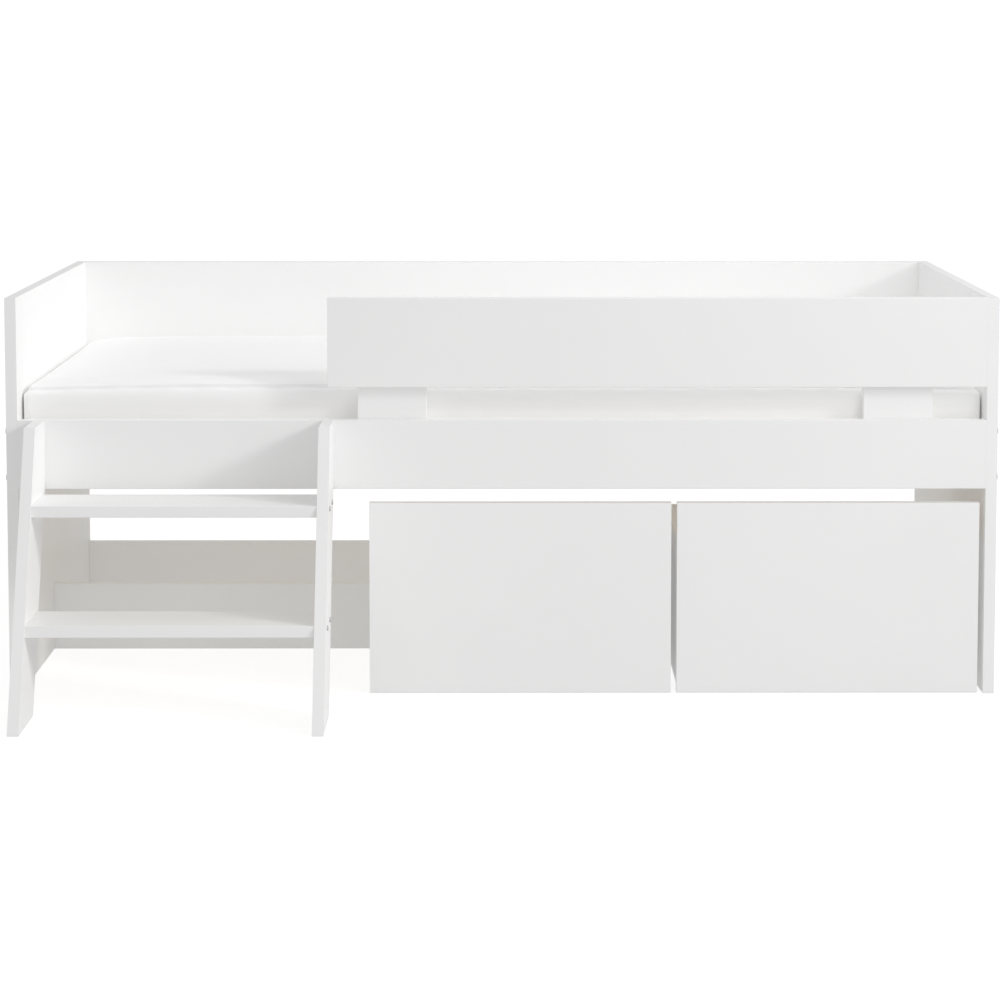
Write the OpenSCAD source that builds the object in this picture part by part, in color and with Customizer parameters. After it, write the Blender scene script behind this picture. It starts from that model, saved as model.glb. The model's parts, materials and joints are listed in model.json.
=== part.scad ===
// Cabin bed: two end panels, rails and stretchers, a leaning ladder with two treads,
// a slatted base with a mattress, and two storage boxes that roll out on castors.
// Millimetres, +Z up, +X to the right end, the front (ladder side) faces -Y.
// Sizes are laid out from the outer left end and the front face of the bed.
// stand() then puts the origin on the floor, in the middle of all that stands on it.

/* [End panels and boards] */
// Overall length, over both end panels
bed_l = 1956; // [1700:1:2300]
// Depth of the end panels
bed_d = 974; // [850:1:1300]
// Height of the end panels
panel_h = 790; // [740:1:1000]
// Thickness of the lacquered boards
board_t = 22; // [20:1:28]
// Chamfer that eases the long edges of the boards
arris = 1; // [0.5:0.5:2.5]

/* [Rails and stretchers] */
// Height of the lower rail's underside above the floor
rail_z = 411; // [400:1:450]
// Height of the lower rail's board
rail_h = 137; // [120:1:180]
// Height of the guard rail's board
guard_h = 177; // [120:1:185]
// Height of the two stretchers that stand on the floor
stretcher_h = 141; // [90:1:250]
// Front face of the middle stretcher, behind the front of the bed
middle_y = 433; // [380:1:500]
// Width of the two uprights that carry the guard rail
upright_w = 137; // [100:1:160]
// From the guard rail's free end to the first upright
upright_inset = 58; // [30:1:120]
// From the right end panel to the second upright
upright_end_gap = 104; // [40:1:200]
// From the top of the guard rail down to the tops of the uprights
upright_drop = 20; // [5:1:60]
// From an upright's sides to its screws
upright_screw_inset = 30; // [20:1:45]
// From the guard rail's edges to the screws and dowels in it
guard_joint_inset = 35; // [25:1:50]

/* [Slatted base] */
// From the top of the lower rail down to the tops of the slats
slat_drop = 76; // [68:1:84]
// Number of slats
slat_count = 11; // [8:1:12]
// Width of a slat
slat_w = 95; // [70:1:100]
// Thickness of a slat
slat_t = 20; // [18:1:24]
// Height and width of the battens that carry the slats
batten_w = 28; // [25:1:30]
// Gap between a slat's end and the boards
slat_end_gap = 2; // [1:0.5:5]
// Gap between the slats and the uprights above them
upright_clear = 3; // [1:0.5:6]

/* [Mattress] */
// Thickness of the mattress at its crown
mattress_t = 157; // [120:1:180]
// Rise of the crown above the long sides' edges
mattress_crown = 4; // [1:0.5:20]
// How far the top falls towards both ends
mattress_fall = 9; // [0:1:20]
// Radius of the soft edge round the top
mattress_edge_r = 34; // [15:1:45]
// Radius of the upright corners in plan
mattress_corner_r = 17; // [12:1:60]
// How far the sides are drawn in between the corners
mattress_draw = 3; // [0:0.5:6]
// Gap between the mattress and the end panels
mattress_end_gap = 3; // [1:0.5:20]
// Gap between the mattress and the boards along it
mattress_side_gap = 4; // [1:0.5:20]

/* [Ladder] */
// Gap between the left end panel and the ladder
ladder_gap = 32; // [20:1:80]
// Width of the ladder, over both stiles
ladder_w = 591; // [420:1:650]
// How far the ladder's foot stands in front of the bed
ladder_reach = 356; // [300:1:420]
// Depth of a stile at its top, level with the lower rail
stile_top_d = 115; // [90:1:140]
// Depth of a stile on the floor
stile_foot_d = 168; // [150:1:190]
// Height of the upper tread's top
upper_tread_z = 405; // [360:1:440]
// Height of the lower tread's top
lower_tread_z = 191; // [120:1:260]
// Depth of a tread
tread_d = 149; // [110:1:160]
// From the back of a tread to its first screw
tread_screw_inset = 30; // [20:1:45]
// Spacing of the two screws in a tread's end
tread_screw_pitch = 80; // [40:1:90]
// From the lower rail's top down to a stile's upper connecting screw
ladder_screw_drop = 46; // [40:1:60]
// Spacing of the two connecting screws in a stile
ladder_screw_pitch = 36; // [25:1:40]

/* [Storage boxes] */
// Width of a box
box_w = 598; // [450:1:600]
// Gap between the boxes, and between the last one and the end panel
box_gap = 11.5; // [5:0.5:30]
// Height of the box front's top above the floor
box_front_z = 383; // [345:1:390]
// Running gap between the box front and the floor
box_floor_gap = 2; // [1:0.5:8]
// Height of the box sides' top above the floor
box_side_z = 312; // [200:1:340]
// Height of the box sides' underside above the floor
box_skirt_z = 17; // [10:1:30]
// Thickness of the box sides and back
box_side_t = 16; // [14:1:19]
// Thickness of the box base
box_base_t = 12; // [9:1:15]
// Depth of the grooves that hold the base
box_groove = 6; // [4:1:8]
// Gap between a shut box and the middle stretcher that stops it
box_stop_gap = 0.3; // [0.2:0.1:2]
// From the base and from the sides' tops to the dowels and screws of the corners
box_joint_inset = 52; // [30:1:70]

/* [Castors] */
// Height of a castor, floor to top plate
castor_h = 44; // [42:1:50]
// Radius of a castor's wheel
wheel_r = 17; // [14:0.5:18]
// Width of a wheel
wheel_w = 16; // [10:1:20]
// Radius of a castor's axle
axle_r = 3; // [2:0.5:4]
// Thickness of the castor's pressed steel
castor_t = 2; // [1.5:0.5:3]
// Width of the castor's top plate
castor_plate_w = 38; // [34:1:44]
// Length of the castor's top plate
castor_plate_l = 46; // [43:1:60]
// Length of a castor's cheeks where they leave the plate
castor_cheek_l = 35; // [28:1:40]
// Spacing of the two screws in a castor's plate
castor_screw_pitch = 35; // [32:1:35]
// Length of the castor's screws under their heads
castor_screw_l = 12; // [10:0.5:13]
// Radius of the castor screws' heads
castor_head_r = 3.6; // [3:0.1:4]
// Thickness of the castor screws' heads
castor_head_t = 1.8; // [1.2:0.1:2.4]
// From the box sides' outer faces to the castors' middle
castor_inset_x = 62; // [45:1:120]
// From the box front and back to the castors' middle
castor_inset_y = 65; // [35:1:120]
// Running clearance between wheel and axle, on the radius
axle_clear = 0.08; // [0.05:0.01:0.1]
// Gap between the wheel and the castor's cheeks, each side
cheek_gap = 0.5; // [0.3:0.1:1.5]

/* [Fasteners] */
// Radius of the frame bolts
bolt_r = 3; // [2.5:0.5:4]
// Length of a frame bolt under its head
bolt_l = 58; // [50:1:75]
// Radius of a bolt's head
bolt_head_r = 7.5; // [6:0.5:9]
// Thickness of a bolt's head
bolt_head_t = 2; // [1.5:0.5:3]
// From a board's edge to the bolt in its end
bolt_inset = 22.5; // [18:0.5:30]
// Radius of the barrel nuts
nut_r = 5; // [4.5:0.5:6]
// Length of the barrel nuts
nut_l = 14; // [10:1:15]
// From a board's end to the barrel nut's axis
nut_inset = 28; // [22:1:29]
// Radius of a tread screw's head
tread_head_r = 5.1; // [4:0.1:6.5]
// Thickness of a tread screw's head
tread_head_t = 2.4; // [1.5:0.1:3]
// Radius of the wood screws
screw_r = 2; // [1.5:0.5:2.5]
// Length of the wood screws
screw_l = 36; // [32:1:38]
// Radius of the connecting screws of ladder and boxes
connector_r = 3; // [2:0.5:3.5]
// Length of the connecting screws
connector_l = 50; // [45:1:60]
// Radius of the wooden dowels
dowel_r = 4; // [3:0.5:4]
// Length of the wooden dowels
dowel_l = 30; // [24:1:36]
// Clearance round a fastener in its hole, on the radius
hole_clear = 0.1; // [0.05:0.05:0.3]

/* [Hidden] */
box_names = ["left_box", "right_box"];
box_parts = [
    "front", "side_left", "side_right", "back", "base", "dowels", "screws",
    "castors", "axles"
];
wheel_names = ["front_left", "front_right", "back_left", "back_right"];

$fn = 48;
lacquer = [0.93, 0.93, 0.925];
pine = [0.84, 0.7, 0.5];
cover = [0.97, 0.97, 0.97];
steel = [0.72, 0.73, 0.75];
nylon = [0.25, 0.25, 0.27];

// a cut reaches this far past a surface that it opens
past = 1;

// derived places of the frame
inner_r = bed_l - board_t;
rail_top = rail_z + rail_h;
back_y = bed_d - board_t;
guard_z = panel_h - guard_h;
guard_x = board_t + ladder_gap + ladder_w - board_t / 2;
slat_top = rail_top - slat_drop;
batten_z = slat_top - slat_t - batten_w;
slat_gap = (inner_r - board_t - slat_count * slat_w) / (slat_count + 1);
upright_z = slat_top + upright_clear;
upright_top = panel_h - upright_drop;
upright_left_x = guard_x + upright_inset;
upright_right_x = inner_r - upright_end_gap - upright_w;

// The ladder's front edge leans by lean_run over the rail's height.
// Its back edge is parallel to it, and leaves the rail at the knee.
ladder_x = board_t + ladder_gap;
lean = (ladder_reach - stile_top_d) / rail_top;
knee_z = (ladder_reach - stile_foot_d) / lean;
tread_l = ladder_w - 2 * board_t;

// boxes, from their own front left corner on the floor
box_x = [inner_r - 2 * (box_gap + box_w), inner_r - box_gap - box_w];
box_d = middle_y - box_stop_gap;
box_back_y = box_d - box_side_t;
groove_clear = 0.2;
castor_xs = [castor_inset_x, box_w - castor_inset_x];
castor_ys = [board_t + castor_inset_y, box_back_y - castor_inset_y];
castor_places = [for (y = castor_ys, x = castor_xs) [x, y, 0]];
cheek_in = wheel_w / 2 + cheek_gap;
axle_head_t = 1.2;

// Where frame bolts pass through the end panels, as [depth, height], board by board.
// Each board has one at bolt_inset from its lower edge, and one from its upper edge.
function bolt_pair(y, low, high) = [for (z = [low + bolt_inset, high - bolt_inset]) [y, z]];
rail_bolts = bolt_pair(board_t / 2, rail_z, rail_top);
back_panel_bolts = bolt_pair(back_y + board_t / 2, rail_z, panel_h);
middle_bolts = bolt_pair(middle_y + board_t / 2, 0, stretcher_h);
back_stretcher_bolts = bolt_pair(back_y + board_t / 2, 0, stretcher_h);
all_bolts = concat(rail_bolts, back_panel_bolts, middle_bolts, back_stretcher_bolts);

// where the wood screws are driven, each as [place, turn from pointing down]
function slat_x(i) = board_t + slat_gap + (i - 1) * (slat_w + slat_gap);
batten_mid_z = batten_z + batten_w / 2;
slat_screw_ys = [board_t + batten_w / 2, back_y - batten_w / 2];
batten_screw_xs = [for (i = [1 : 2 : slat_count - 1]) slat_x(i) + slat_w + slat_gap / 2];
upright_screw_zs = [
    (upright_z + rail_top) / 2,
    guard_z + guard_joint_inset,
    upright_top - guard_joint_inset
];
into_front = [-90, 0, 0];
into_back = [90, 0, 0];
down = [0, 0, 0];
function slat_screws(i) =
    [for (y = slat_screw_ys) [[slat_x(i) + slat_w / 2, y, slat_top], down]];
function upright_screws(x) = [
    for (z = upright_screw_zs, side = [upright_screw_inset, upright_w - upright_screw_inset])
        [[x + side, 2 * board_t, z], into_front]
];
all_slat_screws = [for (i = [1 : slat_count]) each slat_screws(i)];
front_batten_screws = [
    for (x = batten_screw_xs) [[x, board_t + batten_w, batten_mid_z], into_front]
];
back_batten_screws = [
    for (x = batten_screw_xs) [[x, back_y - batten_w, batten_mid_z], into_back]
];
left_upright_screws = upright_screws(upright_left_x);
right_upright_screws = upright_screws(upright_right_x);

// dowels between the guard rail's end and the right end panel, as heights
guard_dowel_zs = [guard_z + guard_joint_inset, panel_h - guard_joint_inset];
// share of a dowel that goes into the face it meets, the rest goes into the board's end
dowel_share = 0.4;

// connecting screws through the lower rail into the stiles, below the rail's top
ladder_screw_top = rail_top - ladder_screw_drop;
ladder_screw_zs = [ladder_screw_top - ladder_screw_pitch, ladder_screw_top];
ladder_screw_xs = [ladder_x + board_t / 2, ladder_x + ladder_w - board_t / 2];
// dowels and connecting screws in the box's corners, as heights
box_joint_zs = [castor_h + box_base_t + box_joint_inset, box_side_z - box_joint_inset];

// The whole bed moves so that the origin is on the floor, in the middle.
module stand() {
    translate([-bed_l / 2, (ladder_reach - bed_d) / 2, 0]) children();
}

// ---------- boards ----------

// cross-section of a board with its four long edges eased
module eased(w, h) {
    polygon([
        [arris, 0], [w - arris, 0], [w, arris], [w, h - arris],
        [w - arris, h], [arris, h], [0, h - arris], [0, arris]
    ]);
}

// boards that run along X, Y and Z, given as [x, y, z] sizes
module board_x(size) {
    rotate([90, 0, 90]) linear_extrude(size[0]) eased(size[1], size[2]);
}
module board_y(size) {
    translate([0, size[1], 0]) rotate([90, 0, 0]) linear_extrude(size[1]) eased(size[0], size[2]);
}
module board_z(size) {
    linear_extrude(size[2]) eased(size[0], size[1]);
}

// round bars and bores that run along +X and +Y from the origin
module bar_x(r, l) rotate([0, 90, 0]) cylinder(r = r, h = l);
module bar_y(r, l) rotate([-90, 0, 0]) cylinder(r = r, h = l);

// ---------- fasteners ----------

// Countersunk screw that points down, with its head flush at the origin.
// A clear above 0 makes the hole for it, which also opens the surface.
screw_head_share = 2.2;
screw_tip_share = 0.3;
module screw_form(r, l, clear = 0) {
    head_r = screw_head_share * r;
    rotate_extrude() polygon([
        [0, -l - clear],
        [screw_tip_share * r + clear, -l - clear],
        [r + clear, -l + 2 * r],
        [r + clear, -(head_r - r)],
        [head_r + clear, 0],
        [head_r + clear, clear > 0 ? past : 0],
        [0, clear > 0 ? past : 0]
    ]);
}

module drive(places, r, l, clear = 0) {
    for (p = places) translate(p[0]) rotate(p[1]) screw_form(r, l, clear);
}

module wood_screw_holes(places) drive(places, screw_r, screw_l, hole_clear);

module wood_screws() {
    color(steel) drive(
        concat(
            all_slat_screws, front_batten_screws, back_batten_screws,
            left_upright_screws, right_upright_screws
        ),
        screw_r, screw_l
    );
}

// Bolt or screw along +X, its low domed head outside the origin, with a hex socket.
// The dome leaves the rim at rim_share of the head's height, and is dome_share as wide.
rim_share = 0.4;
dome_share = 0.78;
socket_share = 0.75;
module headed(r, l, head_r, head_t) {
    difference() {
        union() {
            bar_x(r, l);
            rotate([0, -90, 0]) rotate_extrude() polygon([
                [0, 0], [head_r, 0], [head_r, head_t * rim_share],
                [head_r * dome_share, head_t], [0, head_t]
            ]);
        }
        translate([-head_t - past, 0, 0]) rotate([0, 90, 0])
            cylinder(r = r * socket_share, h = head_t + past + r, $fn = 6);
    }
}

// puts its child at each bolt of both ends, the right end's mirrored
module at_both_ends() {
    children();
    translate([bed_l, 0, 0]) mirror([1, 0, 0]) children();
}

module frame_bolts() {
    color(steel) at_both_ends()
        for (p = all_bolts) translate([0, p[0], p[1]])
            headed(bolt_r, bolt_l, bolt_head_r, bolt_head_t);
}

// a barrel nut lies across its board, with the bolt through it
nut_skin = (board_t - nut_l) / 2;
module barrel_nut() {
    difference() {
        translate([0, -nut_l / 2, 0]) bar_y(nut_r, nut_l);
        translate([-nut_r - past, 0, 0]) bar_x(bolt_r + hole_clear / 2, 2 * (nut_r + past));
    }
}

module barrel_nuts() {
    color(steel) at_both_ends() for (p = all_bolts)
        translate([board_t + nut_inset, p[0], p[1]]) barrel_nut();
}

// bolt bores in both ends of a board, with room past the bolt's end, and nut bores in
// from its back face
bolt_room = 2;
module bolted_ends(points) {
    at_both_ends() for (p = points) {
        translate([board_t - past, p[0], p[1]])
            bar_x(bolt_r + hole_clear, bolt_l - board_t + bolt_room + past);
        translate([board_t + nut_inset, p[0] - board_t / 2 + nut_skin - hole_clear, p[1]])
            bar_y(nut_r + hole_clear, board_t - nut_skin + hole_clear + past);
    }
}

// dowels that run along X, with dowel_share of their length beyond the origin
module dowel_at(x, y, z, clear = 0) {
    translate([x - dowel_l * (1 - dowel_share) - clear, y, z])
        bar_x(dowel_r + clear / 2, dowel_l + 2 * clear);
}

module guard_dowels(clear = 0) {
    color(pine) for (z = guard_dowel_zs) dowel_at(inner_r, board_t / 2, z, clear);
}

// ---------- frame ----------

// an end panel stands on the floor, drilled for the bolts of all four boards
module end_panel() {
    difference() {
        board_y([board_t, bed_d, panel_h]);
        for (p = all_bolts)
            translate([-past, p[0], p[1]]) bar_x(bolt_r + hole_clear, board_t + 2 * past);
    }
}

module end_panel_left() {
    color(lacquer) end_panel();
}

module end_panel_right() {
    color(lacquer) difference() {
        translate([inner_r, 0, 0]) end_panel();
        guard_dowels(hole_clear);
    }
}

// a board between the end panels, with bolted ends
module cross_board(y, z, h, points) {
    difference() {
        translate([board_t, y, z]) board_x([inner_r - board_t, board_t, h]);
        bolted_ends(points);
    }
}

module lower_rail() {
    color(lacquer) difference() {
        cross_board(0, rail_z, rail_h, rail_bolts);
        wood_screw_holes(concat(front_batten_screws, left_upright_screws, right_upright_screws));
        ladder_screw_holes();
    }
}

module guard_rail() {
    color(lacquer) difference() {
        translate([guard_x, 0, guard_z]) board_x([inner_r - guard_x, board_t, guard_h]);
        wood_screw_holes(concat(left_upright_screws, right_upright_screws));
        guard_dowels(hole_clear);
    }
}

module guard_upright(x, screws) {
    color(lacquer) difference() {
        translate([x, board_t, upright_z])
            board_z([upright_w, board_t, upright_top - upright_z]);
        wood_screw_holes(screws);
    }
}

module back_panel() {
    color(lacquer) difference() {
        cross_board(back_y, rail_z, panel_h - rail_z, back_panel_bolts);
        wood_screw_holes(back_batten_screws);
    }
}

module middle_stretcher() {
    color(lacquer) cross_board(middle_y, 0, stretcher_h, middle_bolts);
}

module back_stretcher() {
    color(lacquer) cross_board(back_y, 0, stretcher_h, back_stretcher_bolts);
}

// ---------- slatted base and mattress ----------

module batten(y, screws) {
    color(pine) difference() {
        translate([board_t, y, batten_z]) board_x([inner_r - board_t, batten_w, batten_w]);
        wood_screw_holes(concat(screws, all_slat_screws));
    }
}

module slat(i) {
    color(pine) difference() {
        translate([slat_x(i), board_t + slat_end_gap, slat_top - slat_t])
            board_y([slat_w, back_y - board_t - 2 * slat_end_gap, slat_t]);
        wood_screw_holes(slat_screws(i));
    }
}

// The mattress is a stack of rings. Each ring is a rounded rectangle in plan, drawn in
// along its sides, and each step of the profile gives a ring its inset and height.
mattress_l = inner_r - board_t - 2 * mattress_end_gap;
mattress_w = back_y - 2 * board_t - 2 * mattress_side_gap;
corner_steps = 7;
long_steps = 14;
short_steps = 5;
side_top_z = mattress_t - mattress_crown - mattress_edge_r;
// half width of the top's level middle, and the greatest radius of its corners
crown_flat = 24;
crown_corner_r = 60;
crown_reach = mattress_w / 2 - mattress_edge_r - crown_flat;
// how far from the ends the top begins to fall
fall_reach = 400;
// how far in from the outline the drawn-in sides fade out
draw_fade = 60;

function corner_points(inset, q) =
    let (r = min(mattress_corner_r + inset, mattress_w / 2 - inset - 4, crown_corner_r))
    [
        for (s = [0 : corner_steps]) let (a = 90 * (q + s / corner_steps))
            [
                (q == 0 || q == 3 ? 1 : -1) * (mattress_l / 2 - inset - r) + r * cos(a),
                (q < 2 ? 1 : -1) * (mattress_w / 2 - inset - r) + r * sin(a)
            ]
    ];

// points between the end of one corner and the start of the next, bowed inwards
function side_points(from, to, steps, inset) =
    let (out = [to[1] - from[1], from[0] - to[0]] / norm(to - from))
    [
        for (s = [1 : steps - 1]) let (u = s / steps, bow = 4 * u * (1 - u) * mattress_draw)
            from + (to - from) * u - out * bow * max(0, 1 - inset / draw_fade)
    ];

// The top's fall at a place along the mattress, which fades out down the sides
function fall_at(x, z) =
    let (share = max(0, 1 - (mattress_l / 2 - abs(x)) / fall_reach))
    mattress_fall * share * share * max(0, z - mattress_t / 2) / (mattress_t / 2);

function ring(inset, z) =
    let (corners = [for (q = [0 : 3]) corner_points(inset, q)])
    [
        for (q = [0 : 3]) let (
            here = corners[q],
            next = corners[(q + 1) % 4],
            between = side_points(
                here[corner_steps], next[0], q % 2 == 0 ? long_steps : short_steps, inset
            )
        )
            each [for (p = concat(here, between)) [p[0], p[1], z - fall_at(p[0], z)]]
    ];

// [inset, height] from the flat underside, round the side and over to the crown
mattress_profile = concat(
    [[16, 0], [7, 3], [2, 10], [0, 24], [0, side_top_z * 0.6]],
    [
        for (a = [0 : 18 : 90])
            [mattress_edge_r * (1 - cos(a)), side_top_z + mattress_edge_r * sin(a)]
    ],
    [
        for (u = [0.06, 0.16, 0.3, 0.5, 0.75, 1])
            [
                mattress_edge_r + crown_reach * u,
                mattress_t - mattress_crown + mattress_crown * sin(90 * u)
            ]
    ]
);

module mattress_form() {
    rings = [for (p = mattress_profile) ring(p[0], p[1])];
    n = len(rings[0]);
    last = len(rings) - 1;
    below = (last + 1) * n;
    above = below + 1;
    polyhedron(
        points = concat([for (r = rings) each r], [[0, 0, 0], [0, 0, mattress_t]]),
        faces = concat(
            [for (i = [0 : n - 1]) [i, (i + 1) % n, below]],
            [
                for (k = [0 : last - 1], i = [0 : n - 1]) let (j = (i + 1) % n) each [
                    [k * n + i, (k + 1) * n + i, k * n + j],
                    [k * n + j, (k + 1) * n + i, (k + 1) * n + j]
                ]
            ],
            [for (i = [0 : n - 1]) [last * n + (i + 1) % n, last * n + i, above]]
        )
    );
}

// clearance between the mattress's soft underside and the slats
mattress_lift = 0.3;
module mattress() {
    color(cover)
        translate([
            bed_l / 2,
            2 * board_t + mattress_side_gap + mattress_w / 2,
            slat_top + mattress_lift
        ])
            mattress_form();
}

// ---------- ladder ----------

// front and back edge of a stile at a height
function stile_front(z) = -stile_top_d - (rail_top - z) * lean;

// Level with the rail at its top, upright along the rail's face down to the knee, and
// from there parallel to the front edge, down to the floor
module stile(x) {
    color(lacquer) difference() {
        translate([x, 0, 0]) rotate([90, 0, 90]) linear_extrude(board_t) polygon([
            [0, rail_top],
            [0, knee_z],
            [stile_foot_d - ladder_reach, 0],
            [-ladder_reach, 0],
            [-stile_top_d, rail_top]
        ]);
        tread_screw_holes();
        ladder_screw_holes();
    }
}

module tread(top_z) {
    color(lacquer) difference() {
        translate([ladder_x + board_t, stile_front(top_z), top_z - board_t])
            board_x([tread_l, tread_d, board_t]);
        tread_screw_holes();
    }
}

// screw axes in the treads' ends, as [depth, height]
tread_screw_points = [
    for (z = [lower_tread_z, upper_tread_z], pitch = [0, tread_screw_pitch])
        [stile_front(z) + tread_d - tread_screw_inset - pitch, z - board_t / 2]
];

// puts its child at each tread screw, on the outer face of both stiles
module at_tread_screws() {
    for (p = tread_screw_points) {
        translate([ladder_x, p[0], p[1]]) children();
        translate([ladder_x + ladder_w, p[0], p[1]]) mirror([1, 0, 0]) children();
    }
}

module tread_screw_holes() {
    at_tread_screws() translate([-past, 0, 0])
        bar_x(connector_r + hole_clear, connector_l + past + hole_clear);
}

// the heads of the tread screws stand proud of the stiles
module tread_screws() {
    color(steel) at_tread_screws() headed(connector_r, connector_l, tread_head_r, tread_head_t);
}

ladder_screw_places = [
    for (x = ladder_screw_xs, z = ladder_screw_zs) [[x, board_t, z], into_front]
];
module ladder_screw_holes() drive(ladder_screw_places, connector_r, connector_l, hole_clear);
module ladder_screws() {
    color(steel) drive(ladder_screw_places, connector_r, connector_l);
}

// ---------- storage boxes ----------

module at_box(b) translate([box_x[b], 0, 0]) children();

// the base's outline, which its grooves repeat a little larger
module base_block(clear = 0) {
    low = [box_side_t - box_groove, board_t - box_groove, castor_h];
    high = [box_w - box_side_t + box_groove, box_back_y + box_groove, castor_h + box_base_t];
    // the base rests on the lower faces of its grooves
    translate(low - [clear, clear, 0]) cube(high - low + [2 * clear, 2 * clear, clear]);
}

module box_front() {
    color(lacquer) difference() {
        translate([0, 0, box_floor_gap])
            board_x([box_w, board_t, box_front_z - box_floor_gap]);
        base_block(groove_clear);
        box_dowels(hole_clear);
    }
}

module box_side(x) {
    color(lacquer) difference() {
        translate([x, board_t, box_skirt_z])
            board_y([box_side_t, box_d - board_t, box_side_z - box_skirt_z]);
        base_block(groove_clear);
        box_dowels(hole_clear);
        box_screw_holes();
    }
}

module box_back() {
    color(lacquer) difference() {
        translate([box_side_t, box_back_y, box_skirt_z])
            board_x([box_w - 2 * box_side_t, box_side_t, box_side_z - box_skirt_z]);
        base_block(groove_clear);
        box_screw_holes();
    }
}

module box_base() {
    color(lacquer) difference() {
        base_block();
        for (p = castor_screw_places) translate(p) castor_screw_hole();
    }
}

// dowels between the front and the ends of the sides
module box_dowels(clear = 0) {
    in_front = dowel_l * dowel_share;
    color(pine)
        for (x = [box_side_t / 2, box_w - box_side_t / 2], z = box_joint_zs)
            translate([x, board_t - in_front - clear, z])
                bar_y(dowel_r + clear / 2, dowel_l + 2 * clear);
}

// connecting screws through the sides into the ends of the back
box_screw_places = [
    for (z = box_joint_zs) each [
        [[0, box_back_y + box_side_t / 2, z], [0, -90, 0]],
        [[box_w, box_back_y + box_side_t / 2, z], [0, 90, 0]]
    ]
];
module box_screw_holes() drive(box_screw_places, screw_r, screw_l, hole_clear);
module box_screws() {
    color(steel) {
        drive(box_screw_places, screw_r, screw_l);
        for (p = castor_screw_places) translate(p) rotate([0, -90, 0])
            headed(screw_r, castor_screw_l, castor_head_r, castor_head_t);
    }
}

// ---------- castors ----------

// one fixed castor's cheek, tapered from the plate to a round end below the axle
cheek_wall = 4.8;
axle_fit = 0.03;
module cheek() {
    end_r = axle_r + cheek_wall;
    top = castor_h - castor_t / 2;
    half = castor_cheek_l / 2;
    rotate([90, 0, 90]) linear_extrude(castor_t) difference() {
        union() {
            polygon([[-half, top], [-end_r, wheel_r], [end_r, wheel_r], [half, top]]);
            translate([0, wheel_r]) circle(r = end_r);
        }
        translate([0, wheel_r]) circle(r = axle_r + axle_fit);
    }
}

// the two screws of a plate are driven up into the base, from below the plate
plate_low_z = castor_h - castor_t;
plate_screw_places = [for (y = [-1, 1]) [0, y * castor_screw_pitch / 2, plate_low_z]];
castor_screw_places = [for (p = castor_places, q = plate_screw_places) p + q];
module castor_screw_hole() {
    translate([0, 0, -past])
        cylinder(r = screw_r + hole_clear, h = castor_screw_l + hole_clear + past);
}

module castor() {
    difference() {
        union() {
            translate([-castor_plate_w / 2, -castor_plate_l / 2, plate_low_z])
                cube([castor_plate_w, castor_plate_l, castor_t]);
            translate([cheek_in, 0, 0]) cheek();
            translate([-cheek_in - castor_t, 0, 0]) cheek();
        }
        for (p = plate_screw_places) translate(p) castor_screw_hole();
    }
}

module castors() {
    color(steel) for (p = castor_places) translate(p) castor();
}

// each axle is riveted over outside the cheeks
rivet_share = 1.5;
module axles() {
    half = cheek_in + castor_t;
    color(steel) for (p = castor_places) translate(p + [0, 0, wheel_r]) union() {
        translate([-half - axle_head_t, 0, 0]) bar_x(axle_r, 2 * (half + axle_head_t));
        for (x = [-half - axle_head_t, half]) translate([x, 0, 0])
            bar_x(axle_r * rivet_share, axle_head_t);
    }
}

// wheel with a full-width hub, thinner web and a tread that is rounded at its sides
hub_wall = 3.6;
tread_t = 4;
web_t = 6;
tread_in = 1.2;
tread_round = [1.5, 2];
module wheel(i) {
    hub_r = axle_r + hub_wall;
    rim_in = wheel_r - tread_t;
    bore = axle_r + axle_clear;
    web = web_t / 2;
    half = wheel_w / 2;
    side = half - tread_in;
    color(nylon) translate(castor_places[i] + [0, 0, wheel_r]) rotate([0, 90, 0])
        rotate_extrude() polygon([
            [bore, -half], [hub_r, -half], [hub_r, -web], [rim_in, -web],
            [rim_in, -side], [wheel_r - tread_round[0], -side],
            [wheel_r, tread_round[1] - side], [wheel_r, side - tread_round[1]],
            [wheel_r - tread_round[0], side], [rim_in, side],
            [rim_in, web], [hub_r, web], [hub_r, half], [bore, half]
        ]);
}

// ---------- nodes ----------

stand() end_panel_left();
stand() end_panel_right();
stand() lower_rail();
stand() guard_rail();
stand() guard_upright(upright_left_x, left_upright_screws);  // guard_upright_left
stand() guard_upright(upright_right_x, right_upright_screws);  // guard_upright_right
stand() back_panel();
stand() middle_stretcher();
stand() back_stretcher();
stand() batten(board_t, front_batten_screws);  // front_batten
stand() batten(back_y - batten_w, back_batten_screws);  // back_batten
stand() mattress();
for (i = [1 : slat_count])
    stand() slat(i);
stand() stile(ladder_x);  // ladder_stile_left
stand() stile(ladder_x + ladder_w - board_t);  // ladder_stile_right
stand() tread(upper_tread_z);  // upper_tread
stand() tread(lower_tread_z);  // lower_tread
stand() frame_bolts();
stand() barrel_nuts();
stand() wood_screws();
stand() guard_dowels();
stand() tread_screws();
stand() ladder_screws();
for (b = [0 : 1]) {
    name = box_names[b];
    stand() at_box(b) box_front();
    stand() at_box(b) box_side(0);
    stand() at_box(b) box_side(box_w - box_side_t);
    stand() at_box(b) box_back();
    stand() at_box(b) box_base();
    stand() at_box(b) box_dowels();
    stand() at_box(b) box_screws();
    stand() at_box(b) castors();
    stand() at_box(b) axles();
    for (i = [0 : 3])
        stand() at_box(b) wheel(i);
}
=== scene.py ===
import json
import math

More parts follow.
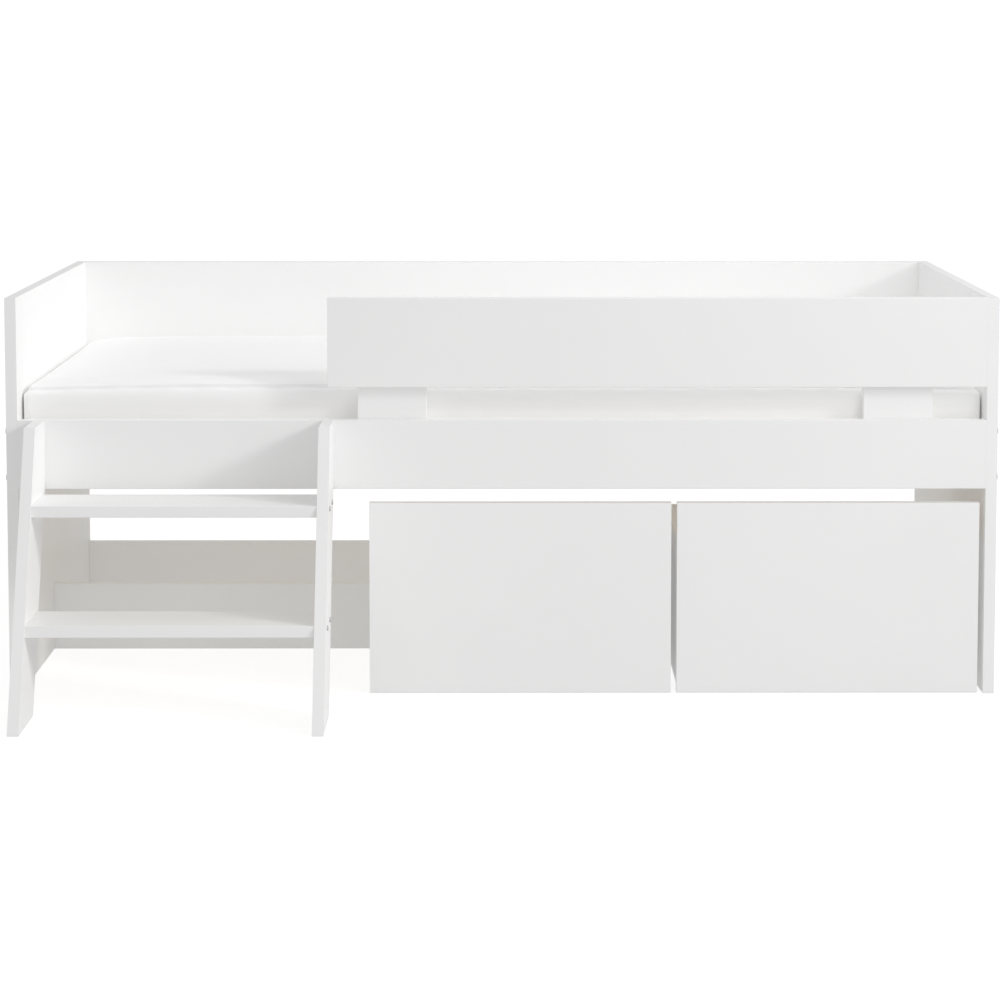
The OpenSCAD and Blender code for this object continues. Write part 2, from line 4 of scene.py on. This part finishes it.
import bmesh
import bpy
import numpy as np
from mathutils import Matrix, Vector


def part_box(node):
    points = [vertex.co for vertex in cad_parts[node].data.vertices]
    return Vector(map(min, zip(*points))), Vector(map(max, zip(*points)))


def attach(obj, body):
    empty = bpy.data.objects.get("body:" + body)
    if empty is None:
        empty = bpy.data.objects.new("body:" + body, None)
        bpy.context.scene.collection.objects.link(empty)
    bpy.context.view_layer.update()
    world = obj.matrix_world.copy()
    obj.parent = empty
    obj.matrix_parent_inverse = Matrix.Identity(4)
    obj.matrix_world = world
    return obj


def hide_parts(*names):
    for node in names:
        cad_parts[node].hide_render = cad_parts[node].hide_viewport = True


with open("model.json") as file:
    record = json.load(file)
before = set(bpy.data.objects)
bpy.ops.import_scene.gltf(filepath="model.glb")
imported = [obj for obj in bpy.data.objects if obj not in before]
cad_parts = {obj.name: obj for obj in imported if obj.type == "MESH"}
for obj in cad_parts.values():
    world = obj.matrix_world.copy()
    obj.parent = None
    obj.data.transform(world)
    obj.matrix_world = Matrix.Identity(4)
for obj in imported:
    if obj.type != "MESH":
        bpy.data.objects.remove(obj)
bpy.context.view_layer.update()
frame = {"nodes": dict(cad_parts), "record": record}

scene = bpy.context.scene
MM = 0.001


# ---------- camera ----------

PHOTO_SIDE = 1000                 # pixels
FOCAL_LENGTH = 2879.39            # in the photo's pixels
FRAME_SHIFT = (-11.75, -201.68)   # in the photo's pixels
CAMERA_PLACE = (0.0019, -5.945, 1.2823)
CAMERA_PITCH = 5                  # degrees down
CAMERA_YAW = -0.1741              # degrees
SENSOR = 36


def make_camera():
    """The photo's camera is level, with its frame shifted far down. Most of that shift is a
    slight pitch here, so that the other views, which keep the shift, aren't cropped."""
    data = bpy.data.cameras.new("camera")
    data.sensor_width = SENSOR
    data.lens = FOCAL_LENGTH * SENSOR / PHOTO_SIDE
    data.shift_x, data.shift_y = (v / PHOTO_SIDE for v in FRAME_SHIFT)
    cam = bpy.data.objects.new("camera", data)
    scene.collection.objects.link(cam)
    cam.location = CAMERA_PLACE
    cam.rotation_euler = (math.radians(90 - CAMERA_PITCH), 0, math.radians(CAMERA_YAW))
    scene.camera = cam


# ---------- node helpers ----------

def rgba(colour):
    """A colour with its alpha, or the socket that gives it."""
    return colour if isinstance(colour, bpy.types.NodeSocket) else (*colour, 1)


class Nodes:
    """A material's or world's node tree, with short calls to add and link nodes."""

    def __init__(self, tree):
        self.tree = tree

    def link(self, output, target):
        self.tree.links.new(output, target)

    def add(self, kind, inputs=None, **settings):
        """A new node. Its settings come first, because they change which sockets it has."""
        n = self.tree.nodes.new(kind)
        for key, value in settings.items():
            setattr(n, key, value)
        for key, value in (inputs or {}).items():
            if isinstance(value, bpy.types.NodeSocket):
                self.link(value, n.inputs[key])
            else:
                n.inputs[key].default_value = value
        return n

    def math(self, operation, a, b, clamp=False):
        return self.add(
            "ShaderNodeMath", {0: a, 1: b}, operation=operation, use_clamp=clamp
        ).outputs[0]

    def vector_math(self, operation, a, b, output=0):
        n = self.add("ShaderNodeVectorMath", {0: a, 1: b}, operation=operation)
        return n.outputs[output]

    def weigh(self, a, b, share):
        """a and b added up, where a has this share and b the rest"""
        return self.math(
            "ADD", self.math("MULTIPLY", a, share), self.math("MULTIPLY", b, 1 - share)
        )

    def place(self, scale=(1, 1, 1), turn=(0, 0, 0), shift=(0, 0, 0)):
        """object coordinates in metres, turned, shifted and scaled"""
        at = self.add("ShaderNodeTexCoord").outputs["Object"]
        return self.add(
            "ShaderNodeMapping",
            {"Vector": at, "Location": shift, "Rotation": turn, "Scale": scale},
        ).outputs[0]

    def noise(self, vector, scale, detail=3.0, rough=0.5, distortion=0.0):
        return self.add(
            "ShaderNodeTexNoise",
            {"Vector": vector, "Scale": scale, "Detail": detail, "Roughness": rough,
             "Distortion": distortion},
        ).outputs[0]

    def waves(self, vector, scale, distortion, detail, detail_scale, **settings):
        return self.add(
            "ShaderNodeTexWave",
            {"Vector": vector, "Scale": scale, "Distortion": distortion, "Detail": detail,
             "Detail Scale": detail_scale},
            **settings,
        ).outputs[0]

    def ramp(self, value, stops):
        n = self.add("ShaderNodeValToRGB", {"Fac": value})
        while len(n.color_ramp.elements) < len(stops):
            n.color_ramp.elements.new(0.5)
        for e, (at, colour) in zip(n.color_ramp.elements, stops):
            e.position = at
            e.color = rgba(colour)
        return n.outputs[0]

    def span(self, value, low, high, from_low=0.0, from_high=1.0):
        return self.add(
            "ShaderNodeMapRange",
            {"Value": value, "From Min": from_low, "From Max": from_high, "To Min": low,
             "To Max": high},
        ).outputs[0]

    def mix(self, share, a, b):
        return self.add(
            "ShaderNodeMix", {0: share, 6: rgba(a), 7: rgba(b)}, data_type="RGBA"
        ).outputs[2]

    def softened(self, radius):
        """the normal, rounded over at the edges"""
        return self.add("ShaderNodeBevel", {"Radius": radius}, samples=4).outputs[0]

    def bump(self, height, strength, distance, normal=None):
        ins = {"Height": height, "Strength": strength, "Distance": distance}
        if normal is not None:
            ins["Normal"] = normal
        return self.add("ShaderNodeBump", ins).outputs[0]


def new_material(name, **constants):
    """An empty Principled material. Constants are set on the shader's own sockets."""
    mat = bpy.data.materials.new(name)
    mat.use_nodes = True
    shader = mat.node_tree.nodes["Principled BSDF"]
    for key, value in constants.items():
        shader.inputs[key.replace("_", " ")].default_value = value
    return mat, Nodes(mat.node_tree), shader


def wire(nodes, shader, colour, roughness, normal):
    for key, socket in (("Base Color", colour), ("Roughness", roughness), ("Normal", normal)):
        nodes.link(socket, shader.inputs[key])


# ---------- materials ----------

def lacquer(name, along):
    """Satin white lacquer on board: fine orange peel over faint strokes along the board,
    softened edges that are a little worn, and hardly any change in colour."""
    whites = (0.872, 0.872, 0.870), (0.886, 0.886, 0.884)
    worn = (0.82, 0.813, 0.795)
    mat, n, shader = new_material(name, IOR=1.5)
    stretch = [14.0, 14.0, 14.0]
    stretch["XYZ".index(along)] = 1.0
    strokes = n.noise(n.place(stretch), 22.0, 4.0, 0.6)
    peel = n.noise(n.place(), 420.0, 2.0, 0.55)
    cloud = n.noise(n.place(shift=(3.1, 1.7, 0.4)), 3.2, 3.0, 0.5)
    soft = n.softened(0.6 * MM)
    true = n.add("ShaderNodeNewGeometry").outputs["True Normal"]
    edge = n.span(n.vector_math("DOT_PRODUCT", soft, true, "Value"), 1.0, 0.0, 0.72, 0.995)
    patches = n.span(n.noise(n.place(), 60.0, 4.0, 0.7), 0.0, 0.7, 0.35, 0.75)
    rub = n.math("MULTIPLY", edge, patches, clamp=True)
    plain = n.mix(n.span(cloud, 0.0, 1.0, 0.3, 0.7), *whites)
    colour = n.mix(n.math("MULTIPLY", rub, 0.35), plain, worn)
    rough = n.math("ADD", n.span(strokes, 0.34, 0.44), n.math("MULTIPLY", rub, 0.14))
    wire(n, shader, colour, rough, n.bump(n.weigh(peel, strokes, 0.65), 0.16, 0.4 * MM, soft))
    return mat


def pine(name, along, shift):
    """Planed pine: growth rings cut flat, fine fibres along the piece, and a few knots."""
    rings_from_early_to_late = (
        (0.0, (0.87, 0.79, 0.66)),
        (0.62, (0.84, 0.75, 0.60)),
        (0.9, (0.74, 0.61, 0.44)),
        (1.0, (0.82, 0.73, 0.58)),
    )
    pale, line, dark = (0.88, 0.82, 0.71), (0.66, 0.50, 0.34), (0.36, 0.21, 0.12)
    mat, n, shader = new_material(name, IOR=1.46)
    turn = {"X": (0, 0, math.pi / 2), "Y": (0, 0, 0), "Z": (math.pi / 2, 0, 0)}[along]

    def at(scale=(1, 1, 1)):
        return n.place(scale, turn, shift)

    # the rings lie round a pith a little below the piece, which sways along it
    sway = n.noise(at((1.2, 0.35, 1.2)), 4.0, 2.0, 0.5)
    push = n.add(
        "ShaderNodeCombineXYZ",
        {"X": n.span(sway, -0.035, 0.035), "Y": 0.0, "Z": n.span(sway, 0.02, -0.02)},
    ).outputs[0]
    from_pith = n.vector_math("ADD", n.vector_math("ADD", at(), (0.0, 0.0, -0.05)), push)
    long = n.vector_math("MULTIPLY", from_pith, (1.0, 0.06, 1.0))
    rings = n.waves(
        long, 46.0, 1.6, 2.0, 1.4, wave_type="RINGS", rings_direction="Y", wave_profile="SAW"
    )
    fibre = n.noise(at((620, 9, 620)), 1.0, 4.0, 0.65)
    broad = n.noise(at((9, 1.4, 9)), 1.0, 3.0, 0.5)
    cell = n.add(
        "ShaderNodeTexVoronoi",
        {"Vector": at((6.5, 2.6, 6.5)), "Scale": 1.0, "Randomness": 1.0},
    )
    knot = n.span(cell.outputs["Distance"], 1.0, 0.0, 0.035, 0.075)
    base = n.ramp(rings, rings_from_early_to_late)
    tint = n.mix(n.span(broad, 0.0, 0.55, 0.35, 0.75), base, pale)
    lined = n.mix(n.span(fibre, 0.0, 0.35, 0.45, 0.8), tint, line)
    colour = n.mix(n.math("MULTIPLY", knot, 0.75, clamp=True), lined, dark)
    rough = n.span(fibre, 0.48, 0.66, 0.3, 0.7)
    height = n.weigh(rings, fibre, 0.35)
    wire(n, shader, colour, rough, n.bump(height, 0.22, 0.5 * MM, n.softened(1.2 * MM)))
    return mat


def zinc(name):
    """Zinc plate, gone a little dull: faint clouds of colour, turned marks and a few
    scratches."""
    blue_to_yellow = (
        (0.25, (0.40, 0.42, 0.455)),
        (0.55, (0.52, 0.522, 0.53)),
        (0.85, (0.53, 0.505, 0.43)),
    )
    mat, n, shader = new_material(name, Metallic=1.0)
    cloud = n.noise(n.place(), 90.0, 3.0, 0.6)
    fine = n.noise(n.place((2600, 300, 300)), 1.0, 2.0, 0.5)
    marks = n.noise(n.place((900, 900, 160)), 1.0, 3.0, 0.7)
    colour = n.ramp(cloud, blue_to_yellow)
    rough = n.math(
        "ADD", n.span(cloud, 0.3, 0.46, 0.25, 0.75), n.span(marks, -0.04, 0.1, 0.3, 0.8)
    )
    height = n.weigh(fine, marks, 0.6)
    wire(n, shader, colour, rough, n.bump(height, 0.2, 0.2 * MM, n.softened(0.4 * MM)))
    return mat


def nylon(name):
    """Dark moulded nylon, lightly grained, with paler scuffs from the floor."""
    fresh, scuffed = (0.028, 0.029, 0.032), (0.10, 0.10, 0.105)
    mat, n, shader = new_material(name, IOR=1.53)
    grain = n.noise(n.place(), 1500.0, 2.0, 0.5)
    scuff = n.noise(n.place((260, 900, 900)), 1.0, 4.0, 0.7)
    colour = n.mix(n.span(scuff, 0.0, 0.6, 0.5, 0.8), fresh, scuffed)
    rough = n.math("ADD", n.span(grain, 0.36, 0.48), n.span(scuff, 0.0, 0.15, 0.5, 0.8))
    wire(n, shader, colour, rough, n.bump(grain, 0.25, 0.2 * MM, n.softened(0.4 * MM)))
    return mat


def cover(name):
    """White cotton cover: a plain weave, slubs in the yarn, soft creases and a little sheen."""
    whites = (0.930, 0.930, 0.928), (0.948, 0.948, 0.947)
    dusty = (0.91, 0.909, 0.905)
    mat, n, shader = new_material(name, IOR=1.4, Sheen_Weight=0.22, Sheen_Roughness=0.45)
    at = n.place()
    warp, weft, fill = (
        n.waves(at, scale, 0.8, 1.0, 0.2, wave_type="BANDS", bands_direction=axis)
        for axis, scale in (("X", 210.0), ("Y", 230.0), ("Z", 230.0))
    )
    # the cross threads run along Y where the cover lies level, and along Z on its sides
    true = n.add("ShaderNodeNewGeometry").outputs["True Normal"]
    up = n.add("ShaderNodeSeparateXYZ", {"Vector": true}).outputs["Z"]
    level = n.math("MULTIPLY", up, up)
    on_sides = n.math("MULTIPLY", fill, n.math("SUBTRACT", 1.0, level))
    across = n.math("ADD", n.math("MULTIPLY", weft, level), on_sides)
    weave = n.math("MAXIMUM", warp, across)
    slub = n.noise(n.place((16, 130, 130)), 1.0, 4.0, 0.6)
    crease = n.noise(n.place((2.2, 5.0, 7.0)), 1.0, 3.0, 0.45, 0.6)
    dust = n.noise(n.place(), 2.4, 2.0, 0.5)
    plain = n.mix(n.span(slub, 0.0, 1.0, 0.35, 0.7), *whites)
    colour = n.mix(n.span(dust, 0.0, 0.16, 0.35, 0.75), plain, dusty)
    creased = n.bump(crease, 0.25, 4 * MM)
    slubbed = n.bump(slub, 0.22, 0.6 * MM, creased)
    woven = n.bump(weave, 0.3, 0.25 * MM, slubbed)
    wire(n, shader, colour, n.span(weave, 0.78, 0.92), woven)
    return mat


def dress(obj, mat):
    obj.data.materials.clear()
    obj.data.materials.append(mat)
    for p in obj.data.polygons:
        p.material_index = 0


def dress_frame():
    """A material for each CAD node, with its grain along the piece. The CAD mattress has
    none, because the cover takes its place."""
    slots = {s["node"]: s["material_slot"] for s in frame["record"]["subparts"]}
    boards = {axis: lacquer(f"lacquer_{axis.lower()}", axis) for axis in "XYZ"}
    steel, wheels = zinc("zinc_plate"), nylon("wheel_nylon")
    for i, (name, obj) in enumerate(sorted(frame["nodes"].items())):
        low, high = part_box(name)
        size = high - low
        axis = "XYZ"[max(range(3), key=lambda k: size[k])]
        if slots[name] == "white_lacquered_board":
            stands = "stile" in name or "upright" in name
            dress(obj, boards["Z" if stands else axis])
        elif slots[name] == "pine":
            along = "Y" if "dowels" in name else axis
            other_wood = (0.37 * i, 0.61 * i, 0.013 * (i % 5))
            dress(obj, pine(f"pine_{name}", along, other_wood))
        elif slots[name] == "zinc_plated_steel":
            dress(obj, steel)
        elif slots[name] == "nylon":
            dress(obj, wheels)


# ---------- mattress ----------

# the CAD mattress's own measures
FULL = 157 * MM          # thickness at the crown
CROWN = 4 * MM
FALL = 9 * MM            # how much lower the top is at the ends
FALL_REACH = 400 * MM
DRAW = 3 * MM            # how far the sides are drawn in between the corners
DRAW_FADE = 60 * MM
EDGE_R = 34 * MM         # radius of the rolled edge round the top
CORNER_R = 17 * MM       # radius of the upright corners in plan
TOP_CORNER_R = 60 * MM   # the most that it grows to on top
CORNER_CLEAR = 4 * MM    # least straight stretch between two corners
FLAT = 24 * MM           # half width of the level middle
FOOT_R = 20 * MM         # radius under the sides

# the cover
LIFT = 0.2 * MM          # clear of the slats
SINK = 2.2 * MM          # its top starts this much lower, and swells up again
SINK_REACH = 30 * MM     # from the seam to where it is sunk in full
SWELL_CAP = SINK + 0.4 * MM
SEAM = math.radians(31)  # where on the rolled edge the top panel is sewn on
SEAM_DEPTH = 5.2 * MM
SEAM_WIDTH = 6 * MM
SEWN = 0.2               # the groove is pinned where it has more than this share of its depth
PUCKER = 0.35            # how much that depth varies

# the cover's grid: lines near the upper edges and near the feet, and quads in between
EDGE_LINES = [v * MM for v in (0, 2.5, 5, 7, 9, 11, 13.5, 16.5, 20, 25, 30, 38, 48, 61)]
FOOT_LINES = [v * MM for v in (0, 7, 15, 26)]
QUAD = 19 * MM

SWELL_FRAMES = 20
TINY = 1e-9


def grid_lines(length, foot=False):
    """Places from 0 to 1 along one side of the box: close together near the ends."""
    ends = FOOT_LINES if foot else EDGE_LINES
    inner = length - ends[-1] - EDGE_LINES[-1]
    count = max(1, round(inner / QUAD))
    middle = [ends[-1] + inner * (k + 1) / count for k in range(count - 1)]
    places = ends + middle + [length - v for v in reversed(EDGE_LINES)]
    return [p / length for p in places]


def grid_box(lines):
    """A box of quads from 0 to 1 on each axis, cut along the given lines."""
    bm = bmesh.new()
    seen = {}

    def vert(*index):
        if index not in seen:
            seen[index] = bm.verts.new([lines[k][i] for k, i in enumerate(index)])
        return seen[index]

    for axis in range(3):
        a, b = (axis + 1) % 3, (axis + 2) % 3
        for side in (0, len(lines[axis]) - 1):
            for i in range(len(lines[a]) - 1):
                for j in range(len(lines[b]) - 1):
                    quad = []
                    for di, dj in ((0, 0), (1, 0), (1, 1), (0, 1)):
                        index = [side] * 3
                        index[a], index[b] = i + di, j + dj
                        quad.append(vert(*index))
                    bm.faces.new(quad if side else quad[::-1])
    return bm


def rounded(value, other, radius):
    """Moves a point near the corner of two walls (0 and 0 is the corner) onto its round."""
    if value >= radius or other >= radius:
        return value, other
    dx, dy = radius - value, radius - other
    reach, far = max(dx, dy), math.hypot(dx, dy)
    if far < TINY:
        return value, other
    return radius - dx * reach / far, radius - dy * reach / far


def mattress_point(p, length, width):
    """From the even box to the mattress's form: a rolled top edge, tight upright corners,
    sides drawn in between them, a crown, and a fall towards both ends. Also gives how far
    the point is along the profile from the seam, and the way out there."""
    half = (length / 2, width / 2)
    x, y, z = (p.x - 0.5) * length, (p.y - 0.5) * width, p.z * (FULL - CROWN)
    gaps = (half[0] - abs(x), half[1] - abs(y))
    inset = min(gaps)
    # the profile's rounds, at the top edge and under the side
    below = FULL - CROWN - z
    wide, down = rounded(inset, below, EDGE_R)
    if below < EDGE_R:
        z = FULL - CROWN - down
    else:
        wide, lift = rounded(inset, z, FOOT_R)
        z = lift if z < FOOT_R else z
    # in plan: the ring at this inset, with its own corner radius
    push = wide - inset
    ring = [
        g - inset + (push * (g - inset) / half[k] if g > inset else 0)
        for k, g in enumerate(gaps)
    ]
    radius = min(CORNER_R + wide, half[1] - wide - CORNER_CLEAR, TOP_CORNER_R)
    if max(ring) < radius:
        out = (radius - ring[0], radius - ring[1])
        ring = rounded(ring[0], ring[1], radius)
    else:
        k = 0 if ring[0] < ring[1] else 1
        out = (1.0 - k, float(k))
        straight = half[1 - k] - wide - radius
        along = (half[1 - k] - wide - ring[1 - k]) / straight
        ring[k] += DRAW * max(0, 1 - along * along) * max(0, 1 - wide / DRAW_FADE)
    far = math.hypot(*out) or 1.0
    sx, sy = (half[k] - wide - ring[k] for k in (0, 1))
    # crown, and the fall towards both ends
    rise = min(1.0, max(0.0, (wide - EDGE_R) / (half[1] - EDGE_R - FLAT)))
    z += CROWN * math.sin(math.pi / 2 * rise)
    share = max(0, 1 - (half[0] - sx) / FALL_REACH)
    z -= FALL * share * share * max(0, z - FULL / 2) / (FULL / 2)
    # the arc's turn here, from 0 at the side to a right angle on top, and less below it
    if below < EDGE_R:
        turn = math.acos(min(1.0, max(-1.0, 1 - wide / EDGE_R)))
    else:
        turn = -below / EDGE_R
    place = Vector((math.copysign(sx, x), math.copysign(sy, y), z))
    way = Vector((
        math.copysign(out[0] / far, x) * math.cos(turn),
        math.copysign(out[1] / far, y) * math.cos(turn),
        math.sin(turn),
    ))
    return place, (turn - SEAM) * EDGE_R, way


def simulate(obj, pins, cap):
    """Swells the cover with pressure. The pinned points stay, the rest keep within the cap."""
    start = np.array([v.co for v in obj.data.vertices], float)
    group = obj.vertex_groups.new(name="sewn")
    group.add(pins, 1.0, "REPLACE")
    cloth = obj.modifiers.new("swell", "CLOTH")
    s = cloth.settings
    s.vertex_group_mass = group.name
    s.quality = 4
    s.mass = 0.25
    s.tension_stiffness = s.compression_stiffness = 12
    s.shear_stiffness = 5
    s.bending_stiffness = 0.4
    s.use_pressure = True
    s.uniform_pressure_force = 4.0
    s.effector_weights.gravity = 0
    cloth.collision_settings.use_collision = False
    cloth.point_cache.frame_start, cloth.point_cache.frame_end = 1, SWELL_FRAMES
    for f in range(1, SWELL_FRAMES + 1):
        scene.frame_set(f)
    swollen = obj.evaluated_get(bpy.context.evaluated_depsgraph_get())
    end = np.array([v.co for v in swollen.to_mesh().vertices], float)
    swollen.to_mesh_clear()
    obj.modifiers.remove(cloth)
    obj.vertex_groups.remove(group)
    scene.frame_set(1)
    move = end - start
    far = np.linalg.norm(move, axis=1)
    move *= (np.minimum(far, cap) / np.maximum(far, TINY))[:, None]
    obj.data.vertices.foreach_set("co", (start + move).astype(np.float32).ravel())
    obj.data.update()


def make_mattress():
    low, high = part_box("mattress")
    centre = (low + high) / 2
    length, width = high.x - low.x, high.y - low.y
    bm = grid_box((grid_lines(length), grid_lines(width), grid_lines(FULL - CROWN, foot=True)))
    pins = []
    for i, v in enumerate(bm.verts):
        place, off, way = mattress_point(v.co, length, width)
        groove = math.exp(-(off / SEAM_WIDTH) ** 2)
        ripple = math.sin(place.x * 71 + 3 * math.sin(place.y * 23)) * math.sin(place.y * 83)
        depth = SEAM_DEPTH * groove * (1 + PUCKER * ripple)
        sink = SINK * min(1.0, max(0.0, off / SINK_REACH))
        if groove > SEWN or off < -EDGE_R * 2:
            pins.append(i)
        v.co = place - way * depth - Vector((0, 0, sink))
        v.co += Vector((centre.x, centre.y, low.z + LIFT))
    mesh = bpy.data.meshes.new("mattress_in_cover")
    bm.to_mesh(mesh)
    bm.free()
    obj = bpy.data.objects.new("mattress_in_cover", mesh)
    scene.collection.objects.link(obj)
    simulate(obj, pins, SWELL_CAP)
    # the underside rests on the slats, and the sides keep clear of the frame
    for v in mesh.vertices:
        v.co.z = max(v.co.z, low.z + LIFT)
        v.co.x = min(max(v.co.x, low.x), high.x)
        v.co.y = min(max(v.co.y, low.y), high.y)
    for p in mesh.polygons:
        p.use_smooth = True
    sub = obj.modifiers.new("smooth", "SUBSURF")
    sub.levels = sub.render_levels = 1
    dress(obj, cover("cotton_cover"))
    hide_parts("mattress")
    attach(obj, "bed_frame")


# ---------- studio ----------

WORLD = 0.61             # even light from all round
WHITE = 1.05             # what the camera sees of it
KEY = 0.8                # from the right front, gives the soft shadows
KEY_ANGLE = 9            # degrees
SOFTBOX = 6.9            # watts, over the right half of the bed, lights its inside
FRONT_BOX = 7.2          # watts, near the right front
AMBIENT = 0.064          # a fill for all that has nothing within its reach
AMBIENT_REACH = 6 * MM
BOUNCES = 12
FLOOR_TONE = 0.35
FLOOR_CLOUDS = 0.005     # how much that varies
FLOOR_GLOW = 0.35        # what the pale floor sends up
FLOOR_SEEN = 0.41        # and how much brighter than that it looks, like the background
FLOOR_SIZE = 300
FLOOR_DROP = 0.4 * MM


def make_floor():
    bm = bmesh.new()
    bmesh.ops.create_grid(bm, x_segments=8, y_segments=8, size=FLOOR_SIZE)
    mesh = bpy.data.meshes.new("floor")
    bm.to_mesh(mesh)
    bm.free()
    floor = bpy.data.objects.new("floor", mesh)
    scene.collection.objects.link(floor)
    floor.location.z = -FLOOR_DROP
    mat, n, shader = new_material("studio_floor")
    shader.inputs["Emission Color"].default_value = (1, 1, 1, 1)
    shader.inputs["Specular IOR Level"].default_value = 0.0
    cloud = n.noise(n.place(), 1.5, 3.0, 0.5)
    tones = ([FLOOR_TONE + side * FLOOR_CLOUDS] * 3 for side in (-1, 1))
    seen = n.add("ShaderNodeLightPath").outputs["Is Camera Ray"]
    glow = n.span(seen, FLOOR_GLOW, FLOOR_GLOW + FLOOR_SEEN)
    n.link(glow, shader.inputs["Emission Strength"])
    n.link(n.mix(cloud, *tones), shader.inputs["Base Color"])
    n.link(n.span(cloud, 0.85, 0.95), shader.inputs["Roughness"])
    floor.data.materials.append(mat)


def make_light(name, kind, power, place, aim=(0, 0, 0), **settings):
    """A lamp at a place that shines at the aim. A sun only takes its direction from them."""
    data = bpy.data.lights.new(name, kind)
    data.energy = power
    for key, value in settings.items():
        setattr(data, key, value)
    obj = bpy.data.objects.new(name, data)
    scene.collection.objects.link(obj)
    obj.location = place
    obj.rotation_euler = (Vector(aim) - Vector(place)).to_track_quat("-Z", "Y").to_euler()


def make_world():
    """An even white light, with plain white behind the object and a fill for its corners."""
    world = bpy.data.worlds.new("studio")
    scene.world = world
    world.use_nodes = True
    n = Nodes(world.node_tree)
    shade = world.node_tree.nodes["Background"]
    shade.inputs["Color"].default_value = (1, 1, 1, 1)
    seen = n.add("ShaderNodeLightPath").outputs["Is Camera Ray"]
    n.link(n.span(seen, WORLD, WHITE), shade.inputs["Strength"])
    world.light_settings.ao_factor = AMBIENT
    world.light_settings.distance = AMBIENT_REACH


def make_studio():
    make_world()
    make_light("key", "SUN", KEY, (2.3, -1.0, 1.1), angle=math.radians(KEY_ANGLE))
    make_light("softbox", "AREA", SOFTBOX, (0.6, 0.1, 2.3), (-0.3, 0.1, 0.4), size=0.8)
    make_light("front_box", "AREA", FRONT_BOX, (1.4, -1.8, 1.4), (-0.3, -0.3, 0.4), size=1.0)
    scene.view_settings.view_transform = "Standard"
    scene.view_settings.look = "None"
    scene.cycles.max_bounces = scene.cycles.diffuse_bounces = BOUNCES
    scene.cycles.use_fast_gi = True
    scene.cycles.fast_gi_method = "ADD"
    make_floor()


make_camera()
dress_frame()
make_mattress()
make_studio()
